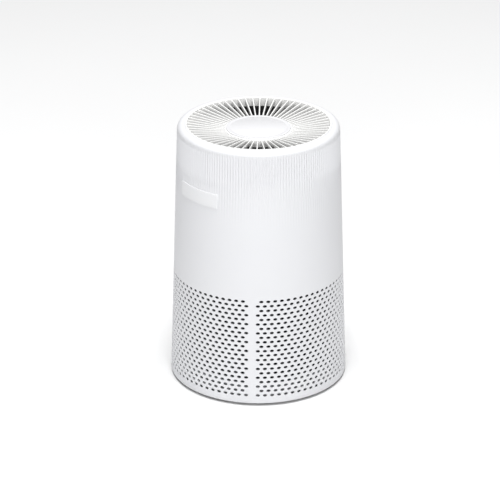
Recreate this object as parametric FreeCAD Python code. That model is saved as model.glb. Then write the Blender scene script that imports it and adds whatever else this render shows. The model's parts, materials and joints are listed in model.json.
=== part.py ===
"""A tower air purifier: a tapered perforated body, a radial outlet grille with a touch disc in its
middle, a fan hung in a duct behind it, and a ring filter held by a twist-off base cover.

Millimetres. Z is up from the floor, the body's axis is x = y = 0, and the front faces -Y.
Angles are measured from +X, anticlockwise seen from above.
"""
import math
import os

import FreeCAD
import Part

V = FreeCAD.Vector

# overall form
height = 322.0          # floor to the top of the rim
base_radius = 107.4     # outside radius at the lower edge of the body
taper = 0.034           # how much the radius loses for each millimetre of height
wall = 2.2
foot_height = 3.0       # the body's lower edge stands this far above the floor
rim_round = 7.0
rim_flat = 2.8          # level ring between the round and the grille
edge_round = 1.5
lip_depth = 7.0         # solid lip under the rim that the grille is screwed to

# perforations
hole_rows = 22
holes_per_row = 19      # in each quarter, and one fewer in every second row
hole_width = 4.8
hole_height = 3.2
row_pitch = 5.77
first_row = 14.0        # height of the lowest row
strip_half = 3.818      # degrees from the middle of a plain strip to the first hole

# badge
badge_span = 36.0       # degrees
badge_turn = 2.0        # degrees from the front to the badge's middle
badge_height = 17.4
badge_middle = 256.6
badge_sunk = 0.4
badge_proud = 0.8

# outlet grille and controls
vane_count = 60
vane_thick = 1.6
vane_depth = 5.0
dish = 6.5              # the vanes fall this much from the rim to the middle
ring_wall = 2.0
ring_depth = 11.0
hub_depth = 9.0
flange_width = 5.0
flange_thick = 2.5
disc_radius = 38.4
disc_thick = 2.0
disc_sunk = 5.2         # top of the disc below the top of the rim
light_height = 1.2
cup_wall = 1.6
cup_depth = 28.0
board_thick = 1.6
board_sunk = 4.4        # top of the touch board's seat below the disc

# latch between the body and the base cover
ledge_height = 11.5
ledge_thick = 0.8
latch_wall = 3.0
latch_bottom = 3.4
lugs = 4
lug_span = 12.0         # degrees
lug_depth = 2.5         # how far a lug and a ramp overlap each other along the radius
lug_thick = 2.0
unlock_turn = 28.0      # degrees that free the cover
unlock_drop = 3.0       # how far the cover comes down in that turn
ramp_lead = 2.0         # degrees of ramp before the lug

# base cover
cover_thick = 2.6
cover_wall = 2.4
cover_top = 14.0
rib_radius = 70.0
grip_radius = 40.0
grip_depth = 12.0
grip_bar = 14.0
foot_radius = 8.0
foot_circle = 85.0

# filter
filter_bottom = 20.0
filter_height = 124.0
cap_thick = 2.5
filter_bore = 60.0
core_wall = 1.0
carbon_thick = 4.0
mesh_thick = 1.0
seal_inner = 72.0
seal_outer = 82.0
strap_length = 60.0
strap_width = 20.0
strap_thick = 1.2

# fan deck, duct and motor
deck_thick = 3.0
deck_gap = 6.0          # room for the seal over the filter
inlet_radius = 64.0
lip_height = 7.0
duct_wall = 2.2
boss_radius = 4.0
boss_height = 12.0
impeller_rise = 10.0    # deck's underside to the impeller's lower edge
impeller_radius = 76.0
impeller_height = 54.0
blades = 9
blade_thick = 1.8
mount_rise = 75.0       # deck's underside to the floor of the motor mount
mount_height = 37.0
mount_floor = 3.0
mount_hub = 40.0
mount_wall = 2.0
guide_vanes = 8
guide_wall = 2.0
ear_half = 4.5
ear_thick = 3.0
shaft_radius = 2.0
bearing_radius = 5.5
bearing_width = 4.0
tube_wall = 1.5
stator_radius = 22.0
stator_height = 16.0
stator_slots = 9
air_gap = 1.0
magnet_thick = 2.0
cup_steel = 1.5

# clearances and fasteners
fit = 0.1               # between pieces of one body that slide together once
running = 0.02          # shaft in its bearings, plunger in its guide
free = 0.4              # between pieces that move past each other
screw_radius = 1.4
screw_head = 2.6
screw_head_thick = 2.0

# electrical pieces
jack_rise = 7.0         # deck's top to the jack's axis
jack_radius = 5.5
jack_bore = 3.2
jack_pin = 1.0
jack_depth = 9.5
switch_half = 4.4
switch_gap = 1.6        # between the duct and the switch
plunger_radius = 1.9

# levels and radii that several pieces share
filter_top = filter_bottom + filter_height
deck_low = filter_top + deck_gap
deck_high = deck_low + deck_thick
lean = math.atan(taper)


def body_radius(z):
    """Outside radius of the tapered body at a height."""
    return base_radius - taper * (z - foot_height)


def inner_radius(z):
    return body_radius(z) - wall


rim_centre_z = height - rim_round
rim_centre_r = body_radius(rim_centre_z) - rim_round / math.cos(lean)
opening = rim_centre_r - rim_flat
grille_outer = opening - fit
vane_outer = grille_outer - ring_wall
lip_low = height - lip_depth
grille_low = height - ring_depth
duct_inner = vane_outer
duct_outer = duct_inner + duct_wall
disc_top = height - disc_sunk
cup_top = disc_top - disc_thick - light_height
cup_radius = disc_radius
hub_inner = cup_radius + fit
hub_outer = hub_inner + ring_wall
hub_low = height - dish - hub_depth
latch_inner = inner_radius(latch_bottom) - fit - latch_wall
cover_radius = latch_inner - free
lug_outer = latch_inner - free
ramp_inner = latch_inner - lug_depth - free
cover_wall_outer = ramp_inner - free
drop_per_degree = unlock_drop / unlock_turn
filter_radius = cover_wall_outer - cover_wall
mount_low = deck_low + mount_rise
impeller_low = deck_low + impeller_rise
tube_outer = bearing_radius + tube_wall
magnet_inner = stator_radius + air_gap
rotor_outer = magnet_inner + magnet_thick + cup_steel
rotor_low = mount_low - 35.0
stator_low = rotor_low + 7.0
jack_height = deck_high + jack_rise
switch_radius = duct_outer + switch_gap + switch_half
switch_floor = deck_high + 1.0
switch_ceiling = deck_high + 12.0
collar_low = deck_high + 1.4 + unlock_drop
screw_angles = [0.0, 90.0, 180.0, 270.0]


def at(radius, angle, z=0.0):
    a = math.radians(angle)
    return V(radius * math.cos(a), radius * math.sin(a), z)


def profile(points):
    """A face in the XZ plane from (radius, height) pairs."""
    corners = [V(r, 0, z) for r, z in points]
    return Part.Face(Part.makePolygon(corners + corners[:1]))


def lathe(points, start=0.0, turn=360.0):
    solid = profile(points).revolve(V(0, 0, 0), V(0, 0, 1), turn)
    solid.rotate(V(0, 0, 0), V(0, 0, 1), start)
    return solid


def tube(r0, r1, z0, z1):
    return lathe([(r0, z0), (r1, z0), (r1, z1), (r0, z1)])


def rod(radius, z0, z1, place=V(0, 0, 0)):
    return Part.makeCylinder(radius, z1 - z0, V(place.x, place.y, z0))


def block(x0, x1, y0, y1, z0, z1):
    return Part.makeBox(x1 - x0, y1 - y0, z1 - z0, V(x0, y0, z0))


def turned(shape, angle):
    copy = shape.copy()
    copy.rotate(V(0, 0, 0), V(0, 0, 1), angle)
    return copy


def around(shape, count, start=0.0):
    return [turned(shape, start + 360.0 * i / count) for i in range(count)]


def join(shapes):
    return shapes[0].fuse(shapes[1:]).removeSplitter()


def helical_block(r0, r1, z_top, thick, a0, a1):
    """A curved bar whose top falls by drop_per_degree from height z_top at angle 0."""
    steps = 8
    wires = []
    for i in range(steps + 1):
        a = a0 + (a1 - a0) * i / steps
        z = z_top - drop_per_degree * a
        corners = [at(r0, a, z - thick), at(r1, a, z - thick), at(r1, a, z), at(r0, a, z)]
        wires.append(Part.makePolygon(corners + corners[:1]))
    return Part.makeLoft(wires, True, True)


# ---- body -------------------------------------------------------------------------------------

def shell_profile():
    """Section of the body wall: rounded lower edge, ledge for the latch, lip and round of the rim."""
    low = foot_height
    tip = V(body_radius(low) - edge_round, 0, low)
    side = V(body_radius(low + edge_round), 0, low + edge_round)
    bend = V(body_radius(low) - 0.3 * edge_round, 0, low + 0.3 * edge_round)
    shoulder = V(rim_centre_r + rim_round * math.cos(lean), 0, rim_centre_z + rim_round * math.sin(lean))
    half = math.radians(45.0) + lean / 2
    middle = V(rim_centre_r + rim_round * math.cos(half), 0, rim_centre_z + rim_round * math.sin(half))
    crown = V(rim_centre_r, 0, height)
    ledge_r = inner_radius(ledge_height) - 1.8
    rest = [
        crown,
        V(opening, 0, height),
        V(opening, 0, lip_low),
        V(inner_radius(lip_low), 0, lip_low),
        V(inner_radius(ledge_height + ledge_thick), 0, ledge_height + ledge_thick),
        V(ledge_r, 0, ledge_height + ledge_thick),
        V(ledge_r, 0, ledge_height),
        V(inner_radius(ledge_height), 0, ledge_height),
        V(inner_radius(low), 0, low),
        tip,
    ]
    edges = [Part.Arc(tip, bend, side).toShape(), Part.makeLine(side, shoulder)]
    edges.append(Part.Arc(shoulder, middle, crown).toShape())
    edges += [Part.makeLine(a, b) for a, b in zip(rest, rest[1:])]
    return Part.Face(Part.Wire(Part.__sortEdges__(edges)))


def hole_tools():
    """The holes of the quarter from 45 to 135 degrees, each a short sector of a ring."""
    pitch = (90.0 - 2 * strip_half) / (holes_per_row - 1)
    tools = []
    for row in range(hole_rows):
        z = first_row + row * row_pitch
        width = math.degrees(hole_width / body_radius(z))
        r0 = inner_radius(z) - wall
        r1 = body_radius(z) + wall
        low = z - hole_height / 2
        high = z + hole_height / 2
        shifted = row % 2
        cutter = lathe([(r0, low), (r1, low), (r1, high), (r0, high)], 45.0 - width / 2, width)
        for i in range(holes_per_row - shifted):
            tools.append(turned(cutter, strip_half + (i + shifted / 2) * pitch))
    return tools


def badge_block():
    low = badge_middle - badge_height / 2
    high = badge_middle + badge_height / 2
    points = [
        (body_radius(low) - badge_sunk, low),
        (body_radius(low) + badge_proud, low),
        (body_radius(high) + badge_proud, high),
        (body_radius(high) - badge_sunk, high),
    ]
    return lathe(points, 270.0 + badge_turn - badge_span / 2, badge_span)


def outer_shell():
    """The four quarters meet in the middle of the plain strips. They are sewn into one solid."""
    quarter = shell_profile().revolve(V(0, 0, 0), V(0, 0, 1), 90.0)
    quarter.rotate(V(0, 0, 0), V(0, 0, 1), 45.0)
    screw_hole = rod(screw_radius, lip_low - 1.0, lip_low + 4.5, at(grille_screw_circle(), 90.0))
    quarter = quarter.cut(Part.makeCompound(hole_tools() + [screw_hole]))
    jack_hole = Part.makeCylinder(jack_radius + fit, 4 * wall, V(0, 0, 0), V(0, 1, 0))
    jack_hole.translate(V(0, body_radius(jack_height) - 2 * wall, jack_height))
    rear = quarter.cut(jack_hole)
    front = quarter.cut(turned(badge_block(), 180.0))
    faces = []
    for piece, angle in ((rear, 0.0), (quarter, 90.0), (front, 180.0), (quarter, 270.0)):
        faces += [turned(f, angle) for f in piece.Faces if not on_seam(f)]
    shell = Part.makeShell(faces)
    shell.sewShape()
    return Part.makeSolid(shell)


def on_seam(face):
    """Does this face close a quarter, in the middle of a plain strip?"""
    corners = [math.degrees(math.atan2(v.Y, v.X)) for v in face.Vertexes]
    return any(all(abs(c - side) < 1e-4 for c in corners) for side in (45.0, 135.0))


# ---- grille and controls ----------------------------------------------------------------------

def grille_screw_circle():
    return grille_outer + screw_head + 0.4


def outlet_grille():
    """Outer ring with a screw flange, hub ring, and the radial vanes between them."""
    rim = tube(vane_outer, grille_outer, grille_low, height)
    flange = tube(grille_outer - 0.5, grille_outer + flange_width, lip_low - flange_thick, lip_low)
    hub = tube(hub_inner, hub_outer, hub_low, height - dish)
    r0 = hub_outer - 0.4 * ring_wall
    r1 = vane_outer + 0.4 * ring_wall
    run = vane_outer - hub_outer
    fall0 = dish * (vane_outer - r0) / run
    fall1 = dish * (vane_outer - r1) / run
    outline = [
        V(r0, -vane_thick / 2, height - fall0 - vane_depth),
        V(r1, -vane_thick / 2, height - fall1 - vane_depth),
        V(r1, -vane_thick / 2, height - 0.3),
        V(r0, -vane_thick / 2, height - fall0 - 0.3),
    ]
    vane = Part.Face(Part.makePolygon(outline + outline[:1])).extrude(V(0, vane_thick, 0))
    body = join([rim, flange, hub] + around(vane, vane_count))
    circle = grille_screw_circle()
    holes = [rod(screw_radius + fit, grille_low, height, at(circle, a)) for a in screw_angles]
    return body.cut(holes)


def touch_panel():
    disc = rod(disc_radius, cup_top + light_height, disc_top)
    return disc.makeFillet(0.6, [e for e in disc.Edges if abs(e.BoundBox.ZMin - disc_top) < 1e-6])


def light_ring():
    """Light guide between the cup's rim and the disc."""
    return tube(cup_radius - cup_wall, cup_radius, cup_top, cup_top + light_height)


def hub_cup():
    """Cup under the disc. Its rim carries the disc, a step inside it the touch board."""
    inner = cup_radius - cup_wall
    seat = inner - 1.6
    low = cup_top - cup_depth
    step = cup_top - board_sunk - board_thick
    points = [
        (0, low), (cup_radius, low), (cup_radius, hub_low - 1.6), (hub_outer + 1.0, hub_low - 1.6),
        (hub_outer + 1.0, hub_low), (cup_radius, hub_low), (cup_radius, cup_top), (inner, cup_top),
        (inner, step), (seat, step), (seat, low + cup_wall), (0, low + cup_wall),
    ]
    return lathe(points)


def touch_board():
    step = cup_top - board_sunk - board_thick
    board = rod(cup_radius - cup_wall - fit, step, step + board_thick)
    chip = block(-5, 5, -5, 5, step + board_thick, step + board_thick + 1.4)
    pad = rod(4.5, step + board_thick, step + board_thick + 0.6, at(22.0, 90.0))
    return join([board, chip] + around(pad, 5))


# ---- deck, duct and fan -----------------------------------------------------------------------

def deck_screw_circle():
    return duct_outer + boss_radius - 0.6


def fan_deck():
    """Plate across the body over the filter, with a raised lip round the fan's inlet."""
    edge = inner_radius(deck_high) - free
    plate = tube(inlet_radius - 1.4, edge, deck_low, deck_high)
    lip = tube(inlet_radius - 1.4, inlet_radius + 0.6, deck_low, deck_low + lip_height)
    body = join([plate, lip])
    circle = deck_screw_circle()
    holes = [rod(screw_radius + fit, deck_low - 1, deck_high + 1, at(circle, a + 45.0)) for a in screw_angles]
    holes.append(rod(plunger_radius + free, deck_low - 1, deck_high + 1, V(-switch_radius, 0, 0)))
    return body.cut(holes)


def fan_duct():
    """Black duct from the deck to the grille, with screw bosses and pads for the main board."""
    pipe = tube(duct_inner, duct_outer, deck_high, grille_low)
    circle = deck_screw_circle()
    boss = rod(boss_radius, deck_high, deck_high + boss_height, at(circle, 45.0))
    bosses = around(boss, 4, 0.0)
    ledge = mount_screw_circle()
    seats = []
    for a in screw_angles:
        outer = duct_inner + duct_wall / 2
        seat = block(ledge - ear_half, outer, -ear_half, ear_half, mount_low - 12.0, mount_low)
        seats.append(turned(seat, a))
    pads = block(-15, 15, duct_outer - 2.4, duct_outer + 2.8, deck_high + 22.0, deck_high + 62.0)
    pads = pads.cut(rod(duct_outer - 1.0, deck_low, height))
    body = join([pipe, pads] + bosses + seats)
    holes = [rod(screw_radius, deck_low, deck_high + 9.0, at(circle, a + 45.0)) for a in screw_angles]
    holes += [rod(screw_radius, mount_low - 9.0, mount_low + 1, at(ledge, a)) for a in screw_angles]
    return body.cut(holes)


def finger_guard():
    """Rings and spokes under the inlet."""
    low = deck_low - 2.0
    rings = [tube(r - 1.0, r + 1.0, low, deck_low) for r in (20.0, 34.0, 48.0)]
    rim = tube(inlet_radius - 3.4, inlet_radius + 4.0, low, deck_low)
    spokes = [block(5.0, inlet_radius, -1.0, 1.0, low, deck_low)]
    middle = rod(8.0, low, deck_low)
    return join([middle, rim] + rings + around(spokes[0], 6))


def mount_screw_circle():
    return duct_inner - fit - guide_wall - screw_head - 0.4


def guide_ring():
    """Ring inside the duct, with ears that are screwed to the duct's ledges."""
    outer = duct_inner - fit
    ring = tube(outer - guide_wall, outer, mount_low, mount_low + mount_height)
    circle = mount_screw_circle()
    reach = outer - guide_wall / 2
    ear = block(circle - ear_half, reach, -ear_half, ear_half, mount_low, mount_low + ear_thick)
    body = join([ring] + around(ear, 4))
    hole = rod(screw_radius + fit, mount_low - 1, mount_low + ear_thick + 1, at(circle, 0.0))
    return body.cut(around(hole, 4))


def motor_mount():
    """Hub with the motor's floor, and guide vanes that reach the ring round it."""
    top = mount_low + mount_height
    hub = tube(mount_hub - mount_wall, mount_hub, mount_low, top)
    floor = tube(tube_outer + fit, mount_hub - 1.0, mount_low, mount_low + mount_floor)
    reach = duct_inner - fit - guide_wall - fit
    vane = block(mount_hub - 1.0, reach, -0.9, 0.9, mount_low + ear_thick + 1.0, top - 2.0)
    vane = vane.common(rod(reach, mount_low, top))
    return join([hub, floor] + around(vane, guide_vanes, 180.0 / guide_vanes))


def bearing_tube():
    """Steel tube that holds both bearings and carries the stator."""
    low = stator_low - 3.0
    flange = 12.0
    points = [
        (bearing_radius, low), (tube_outer, low), (tube_outer, mount_low - 2.0), (flange, mount_low - 2.0),
        (flange, mount_low), (tube_outer, mount_low), (tube_outer, mount_low + mount_floor),
        (bearing_radius, mount_low + mount_floor),
    ]
    return lathe(points)


def bearing_levels():
    return (stator_low - 2.0, mount_low - 4.0)


def motor_bearings():
    bores = shaft_radius
    rings = [tube(bores, bearing_radius, z, z + bearing_width) for z in bearing_levels()]
    return Part.makeCompound(rings)


def stator_core():
    """Laminated core with a tooth for each slot."""
    high = stator_low + stator_height
    yoke = tube(tube_outer, tube_outer + 5.0, stator_low, high)
    tooth = block(tube_outer + 4.0, stator_radius - 1.5, -2.0, 2.0, stator_low, high)
    shoe_r = stator_radius - 2.0
    shoe = lathe([(shoe_r, stator_low), (stator_radius, stator_low), (stator_radius, high), (shoe_r, high)],
                 -15.0, 30.0)
    return join([yoke] + around(tooth, stator_slots) + around(shoe, stator_slots))


def motor_coils():
    high = stator_low + stator_height
    r0 = tube_outer + 5.2
    r1 = stator_radius - 2.8
    winding = block(r0, r1, -3.6, 3.6, stator_low - 2.5, high + 2.5)
    winding = winding.cut(block(r0 - 1, r1 + 1, -2.0, 2.0, stator_low, high))
    return Part.makeCompound(around(winding, stator_slots))


def motor_board():
    low = stator_low + stator_height + 3.4
    board = tube(tube_outer, stator_radius, low, low + board_thick)
    plug = block(-4, 4, 12, 18, low + board_thick, low + board_thick + 1.6)
    return join([board, plug])


def rotor_cup():
    """Steel cup outside the magnets, fixed to the shaft by its bottom."""
    inner = rotor_outer - cup_steel
    high = stator_low + stator_height + 3.0
    points = [
        (shaft_radius, rotor_low), (rotor_outer, rotor_low), (rotor_outer, high), (inner, high),
        (inner, rotor_low + 2.0), (shaft_radius, rotor_low + 2.0),
    ]
    return lathe(points)


def rotor_magnet():
    return tube(magnet_inner, magnet_inner + magnet_thick, rotor_low + 4.0, stator_low + stator_height + 2.0)


def motor_shaft():
    """Shaft, thinned by the running clearance where the bearings hold it."""
    top = bearing_levels()[1] + bearing_width + 2.0
    thin = shaft_radius - running
    low = rotor_low - 10.0
    points = [(0, low), (shaft_radius, low), (shaft_radius, rotor_low + 2.0), (thin, rotor_low + 2.0),
              (thin, top), (0, top)]
    return lathe(points)


def shaft_clip():
    low = bearing_levels()[1] + bearing_width + free
    return tube(shaft_radius - running, 2 * shaft_radius, low, low + 0.8)


def impeller():
    """Cone hub round the motor, curved blades, and a shroud ring at the inlet."""
    low = impeller_low
    high = rotor_low + 24.0
    nose = rotor_low - 7.0
    r_cup = rotor_outer + 0.6
    back_r = impeller_radius - 12.0
    hub = lathe([
        (shaft_radius, nose), (8.0, nose), (r_cup + 1.8, rotor_low - 2.0), (back_r, high - 2.0),
        (back_r, high), (r_cup, rotor_low + 3.4), (r_cup, rotor_low), (shaft_radius, rotor_low),
    ])
    inlet = inlet_radius - 4.0
    shroud_top = low + 22.0
    shroud = lathe([(inlet, low), (inlet + 2.0, low), (impeller_radius + 2.0, shroud_top),
                    (impeller_radius, shroud_top)])
    span = lathe([
        (r_cup + 3.0, rotor_low - 1.4), (back_r - 0.6, high - 1.6), (back_r + 8.0, high - 8.0),
        (impeller_radius + 0.6, shroud_top - 0.8), (inlet + 0.8, low + 0.6), (r_cup + 3.0, low + 6.0),
    ], 0.0, 180.0)
    bend = 50.0
    wall_ring = tube(bend - blade_thick / 2, bend + blade_thick / 2, low, high)
    wall_ring.translate(V(bend - 8.0, 0, 0))
    blade = span.common(wall_ring)
    return join([hub, shroud] + around(blade, blades))


def impeller_nut():
    low = rotor_low - 10.0
    corners = [at(4.0, 60.0 * i, low) for i in range(7)]
    nut = Part.Face(Part.makePolygon(corners)).extrude(V(0, 0, 3.0))
    return nut.cut(rod(shaft_radius, low - 1, low + 4))


# ---- fasteners --------------------------------------------------------------------------------

def screw(seat, length, place):
    """A pan head under the height seat, and a shank that rises into the boss over it."""
    head = rod(screw_head, seat - screw_head_thick, seat, place)
    return head.fuse(rod(screw_radius, seat, seat + length, place)).removeSplitter()


def deck_screws():
    return Part.makeCompound([screw(deck_low, 11.0, at(deck_screw_circle(), a + 45.0)) for a in screw_angles])


def grille_screws():
    circle = grille_screw_circle()
    return Part.makeCompound([screw(lip_low - flange_thick, 6.5, at(circle, a)) for a in screw_angles])


def mount_screws():
    """These come from above, so each is a screw turned over."""
    circle = mount_screw_circle()
    seat = mount_low + ear_thick
    solids = []
    for a in screw_angles:
        place = at(circle, a)
        head = rod(screw_head, seat, seat + screw_head_thick, place)
        solids.append(head.fuse(rod(screw_radius, seat - 11.0, seat, place)).removeSplitter())
    return Part.makeCompound(solids)


# ---- electrical pieces ------------------------------------------------------------------------

def main_board():
    """Upright board behind the duct, with its tall components on the outer side."""
    y = duct_outer + 2.8
    low = deck_high + 18.0
    board = block(-19, 19, y, y + board_thick, low, low + 70.0)
    parts = [
        block(-12, 0, y + board_thick, y + 4.4, low + 6.0, low + 20.0),
        block(4, 12, y + board_thick, y + 3.8, low + 8.0, low + 26.0),
        block(-10, -4, y + board_thick, y + 3.4, low + 32.0, low + 44.0),
        block(0, 10, y + board_thick, y + 2.8, low + 36.0, low + 46.0),
    ]
    return join([board] + parts)


def dc_jack():
    """Low-voltage inlet: a block on the deck with a round nose in the body's rear wall."""
    face = body_radius(jack_height) - 0.4
    back = inner_radius(jack_height) - 1.6
    casing = block(-5.5, 5.5, back - 8.5, back, deck_high, jack_height + 6.0)
    nose = Part.makeCylinder(jack_radius, face - back + 1.0, V(0, back - 1.0, jack_height), V(0, 1, 0))
    bore = Part.makeCylinder(jack_bore, jack_depth, V(0, face - jack_depth, jack_height), V(0, 1, 0))
    root = V(0, face - jack_depth - 0.5, jack_height)
    pin = Part.makeCylinder(jack_pin, jack_depth - 0.5, root, V(0, 1, 0))
    return casing.fuse(nose).cut(bore).fuse(pin).removeSplitter()


def switch_body():
    """Interlock switch on the deck. Its plunger comes down through the deck to the filter."""
    place = V(-switch_radius, 0, 0)
    x = -switch_radius
    body = block(x - switch_half, x + switch_half, -8, 8, deck_high, deck_high + 14.0)
    hollow = rod(plunger_radius + 1.7, switch_floor, switch_ceiling, place)
    guide = rod(plunger_radius + running + 0.03, deck_high - 1, switch_floor + 1, place)
    return body.cut([hollow, guide])


def switch_plunger():
    """Stem with a collar, which rests a little over the hollow's floor when the filter is out."""
    place = V(-switch_radius, 0, 0)
    stem = rod(plunger_radius, filter_top + 0.2, collar_low + 1.2, place)
    return stem.fuse(rod(plunger_radius + 1.3, collar_low, collar_low + 1.2, place)).removeSplitter()


def switch_spring():
    """Sleeve in the place of a coil spring, between the plunger's collar and the hollow's ceiling."""
    sleeve = tube(plunger_radius - 0.8, plunger_radius, collar_low + 1.2, switch_ceiling)
    sleeve.translate(V(-switch_radius, 0, 0))
    return sleeve


# ---- latch, cover and feet --------------------------------------------------------------------

def latch_ring():
    """Ring under the body's ledge with falling ramps that hold the cover's lugs."""
    low = latch_bottom
    high = ledge_height
    ring = lathe([
        (latch_inner, low), (inner_radius(low) - fit, low), (inner_radius(high) - fit, high),
        (latch_inner, high),
    ])
    outer = latch_inner + 0.5 * latch_wall
    ramp = helical_block(ramp_inner, outer, ramp_top(), lug_thick, -ramp_lead, unlock_turn - 0.5)
    return join([ring] + around(ramp, lugs, 45.0))


def ramp_top():
    return ledge_height - drop_per_degree * ramp_lead - 0.2


def base_cover():
    """Twist-off cover: plate, wall with lugs, a rib under the filter, and a recessed grip."""
    low = foot_height
    plate = tube(grip_radius, cover_radius, low, low + cover_thick)
    ring = tube(cover_wall_outer - cover_wall, cover_wall_outer, low, cover_top)
    rib = tube(rib_radius - 2.0, rib_radius, low, filter_bottom - 0.3)
    well = tube(grip_radius, grip_radius + 2.0, low, low + grip_depth + 2.0)
    ceiling = rod(grip_radius + 1.0, low + grip_depth, low + grip_depth + 2.0)
    bar = block(-grip_radius - 1.0, grip_radius + 1.0, -grip_bar / 2, grip_bar / 2, low, low + grip_depth + 1.0)
    bar = bar.common(rod(grip_radius + 1.0, low, low + grip_depth + 1.0))
    inner = cover_wall_outer - 0.5 * cover_wall
    lug = helical_block(inner, lug_outer, ramp_top() + 0.3 + lug_thick, lug_thick, 0.0, lug_span)
    ribs = [turned(block(rib_radius - 1, cover_wall_outer - 1, -1, 1, low, cover_top - 2), a)
            for a in (22.5, 67.5, 112.5, 157.5, 202.5, 247.5, 292.5, 337.5)]
    return join([plate, ring, rib, well, ceiling, bar] + around(lug, lugs, 45.0) + ribs)


def foot_pads():
    return Part.makeCompound(around(rod(foot_radius, 0, foot_height, at(foot_circle, 45.0)), 4))


# ---- filter -----------------------------------------------------------------------------------

def filter_layers():
    """Inner and outer radius of each layer, from the bore outwards."""
    core = filter_bore + core_wall
    carbon = core + carbon_thick
    media = filter_radius - 1.0 - mesh_thick
    return {
        "filter_core": (filter_bore, core),
        "filter_carbon": (core, carbon),
        "filter_media": (carbon, media),
        "prefilter_mesh": (media, media + mesh_thick),
    }


def filter_layer(name):
    r0, r1 = filter_layers()[name]
    return tube(r0, r1, filter_bottom + cap_thick, filter_top - cap_thick)


def filter_top_cap():
    """Ring cap with a low skirt round the layers."""
    top = filter_top
    under = top - cap_thick
    return lathe([(filter_bore - 1.0, under), (filter_radius - 1.0, under), (filter_radius - 1.0, under - 3.0),
                  (filter_radius, under - 3.0), (filter_radius, top), (filter_bore - 1.0, top)])


def filter_bottom_cap():
    low = filter_bottom
    over = low + cap_thick
    return lathe([(0, low), (filter_radius, low), (filter_radius, over + 3.0), (filter_radius - 1.0, over + 3.0),
                  (filter_radius - 1.0, over), (0, over)])


def filter_seal():
    return tube(seal_inner, seal_outer, filter_top, deck_low - 0.2)


def filter_strap():
    """Pull strap across the filter's underside, fixed at both ends and bowed between them."""
    half = strap_length / 2
    bow = 1.4
    top = filter_bottom
    points = [
        V(-half, 0, top), V(-half + 10, 0, top), V(-half + 14, 0, top - bow), V(half - 14, 0, top - bow),
        V(half - 10, 0, top), V(half, 0, top), V(half, 0, top - strap_thick),
        V(half - 10.5, 0, top - strap_thick), V(half - 14.5, 0, top - strap_thick - bow),
        V(-half + 14.5, 0, top - strap_thick - bow), V(-half + 10.5, 0, top - strap_thick),
        V(-half, 0, top - strap_thick),
    ]
    face = Part.Face(Part.makePolygon(points + points[:1]))
    strap = face.extrude(V(0, strap_width, 0))
    strap.translate(V(0, -strap_width / 2, 0))
    return strap


pieces = {
    "outer_shell": outer_shell,
    "badge_plate": badge_block,
    "outlet_grille": outlet_grille,
    "grille_screws": grille_screws,
    "touch_panel": touch_panel,
    "light_ring": light_ring,
    "hub_cup": hub_cup,
    "touch_board": touch_board,
    "fan_deck": fan_deck,
    "deck_screws": deck_screws,
    "fan_duct": fan_duct,
    "finger_guard": finger_guard,
    "guide_ring": guide_ring,
    "motor_mount": motor_mount,
    "mount_screws": mount_screws,
    "bearing_tube": bearing_tube,
    "motor_bearings": motor_bearings,
    "stator_core": stator_core,
    "motor_coils": motor_coils,
    "motor_board": motor_board,
    "rotor_cup": rotor_cup,
    "rotor_magnet": rotor_magnet,
    "motor_shaft": motor_shaft,
    "shaft_clip": shaft_clip,
    "impeller": impeller,
    "impeller_nut": impeller_nut,
    "main_board": main_board,
    "dc_jack": dc_jack,
    "switch_body": switch_body,
    "switch_plunger": switch_plunger,
    "switch_spring": switch_spring,
    "latch_ring": latch_ring,
    "base_cover": base_cover,
    "foot_pads": foot_pads,
    "filter_core": lambda: filter_layer("filter_core"),
    "filter_carbon": lambda: filter_layer("filter_carbon"),
    "filter_media": lambda: filter_layer("filter_media"),
    "prefilter_mesh": lambda: filter_layer("prefilter_mesh"),
    "filter_top_cap": filter_top_cap,
    "filter_bottom_cap": filter_bottom_cap,
    "filter_seal": filter_seal,
    "filter_strap": filter_strap,
}

os.makedirs("parts", exist_ok=True)
for node, make in pieces.items():
    shape = make()
    print(node, len(shape.Solids), shape.isValid(), round(shape.Volume))
    shape.exportStep("parts/" + node + ".step")
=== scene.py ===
# %% [markdown]
# # A tower air purifier
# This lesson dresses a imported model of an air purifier: a tapered white body with a perforated lower half,
# fine flutes near the top, a radial outlet grille with a touch disc in its middle, and the fan and the ring
# filter inside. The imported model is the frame. Pieces whose solids are already right keep their mesh and get
# a finish, and the rest are modelled again in their place.

# %% Load the frame
import json
import math

import bmesh
import bpy
from mathutils import Matrix, Vector

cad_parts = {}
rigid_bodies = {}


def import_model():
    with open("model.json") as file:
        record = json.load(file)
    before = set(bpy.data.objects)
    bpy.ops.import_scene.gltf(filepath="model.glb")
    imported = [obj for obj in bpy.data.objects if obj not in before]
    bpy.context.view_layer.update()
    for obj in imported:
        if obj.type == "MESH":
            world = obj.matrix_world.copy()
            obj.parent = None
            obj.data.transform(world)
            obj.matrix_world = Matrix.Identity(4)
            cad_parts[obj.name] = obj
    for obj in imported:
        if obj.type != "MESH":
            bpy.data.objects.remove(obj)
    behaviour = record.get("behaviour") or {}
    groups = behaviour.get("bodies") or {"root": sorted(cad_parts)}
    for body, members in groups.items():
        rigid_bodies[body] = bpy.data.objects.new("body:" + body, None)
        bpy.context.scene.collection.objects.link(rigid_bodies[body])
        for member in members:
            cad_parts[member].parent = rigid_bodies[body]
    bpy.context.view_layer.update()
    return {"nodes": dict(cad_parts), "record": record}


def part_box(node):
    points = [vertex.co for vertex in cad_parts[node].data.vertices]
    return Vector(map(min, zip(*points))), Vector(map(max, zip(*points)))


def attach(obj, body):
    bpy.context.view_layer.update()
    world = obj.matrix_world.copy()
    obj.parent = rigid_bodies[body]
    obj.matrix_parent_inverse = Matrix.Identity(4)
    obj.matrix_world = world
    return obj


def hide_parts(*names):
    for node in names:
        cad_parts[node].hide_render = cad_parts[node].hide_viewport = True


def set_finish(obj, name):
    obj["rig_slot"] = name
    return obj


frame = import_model()
nodes = frame["nodes"]
MM = 0.001

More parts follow.
